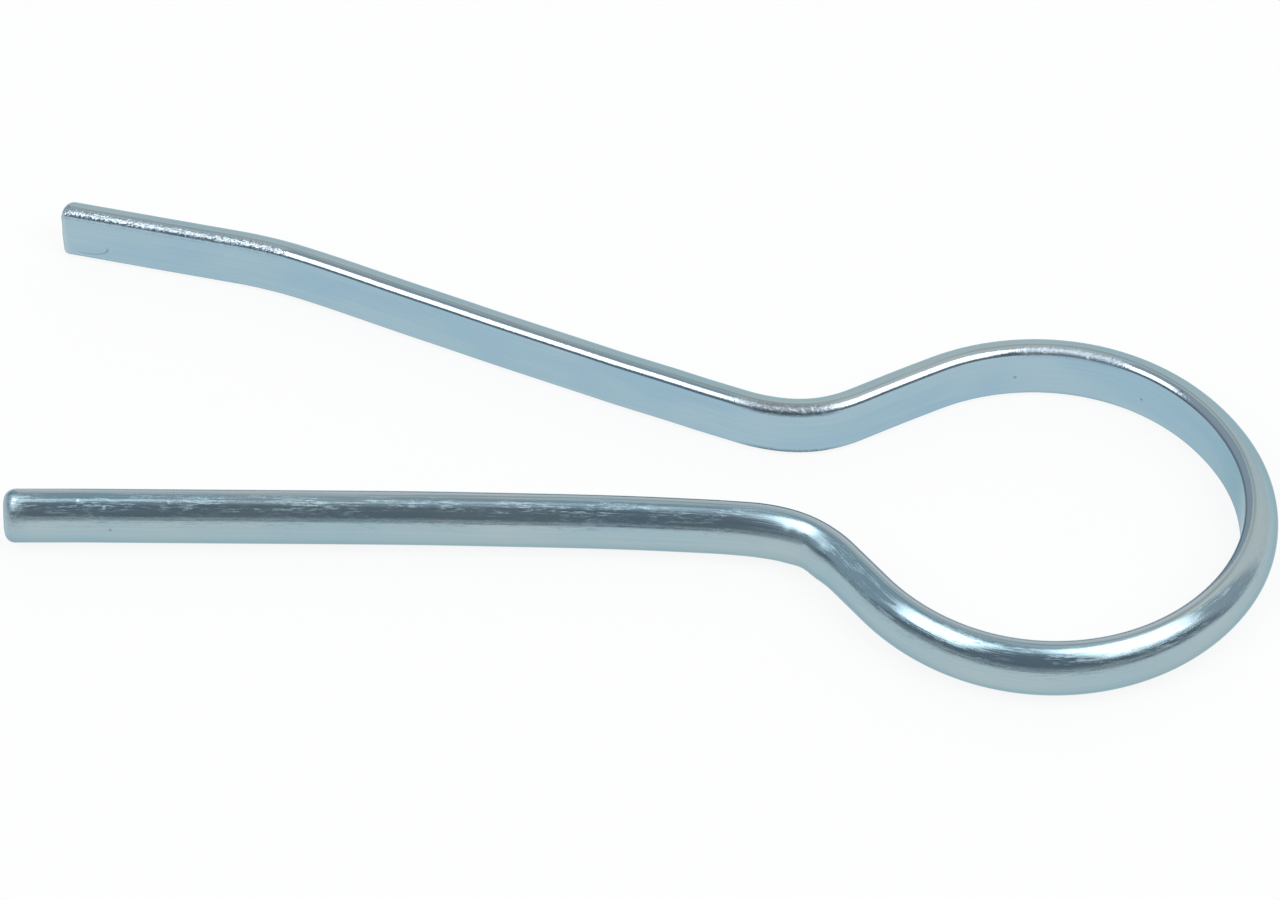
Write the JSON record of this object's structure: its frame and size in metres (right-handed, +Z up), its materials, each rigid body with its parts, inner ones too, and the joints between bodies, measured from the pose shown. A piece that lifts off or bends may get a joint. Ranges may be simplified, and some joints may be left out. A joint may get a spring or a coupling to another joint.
{
  "type": "r-clip",
  "caption": "Spring clip bent from half-round zinc-plated steel wire: a straight leg, a round eye to pull it by, and a raised leg with a turned-back tip.",
  "frame": {"origin": "under the middle of the clip's bounding box, on the surface it lies on", "axes": "+X from the two tips towards the eye, parallel to the straight leg; +Y towards the raised leg; +Z up, square to the plane the wire is bent in"},
  "size_m": [0.1412, 0.0698, 0.0077],
  "materials": {
    "zinc_steel": "blue-bright zinc plating over drawn spring steel, semi-bright with fine lengthwise drawing lines"
  },
  "bodies": {
    "root": {"clip": "zinc_steel"}
  },
  "joints": []
}
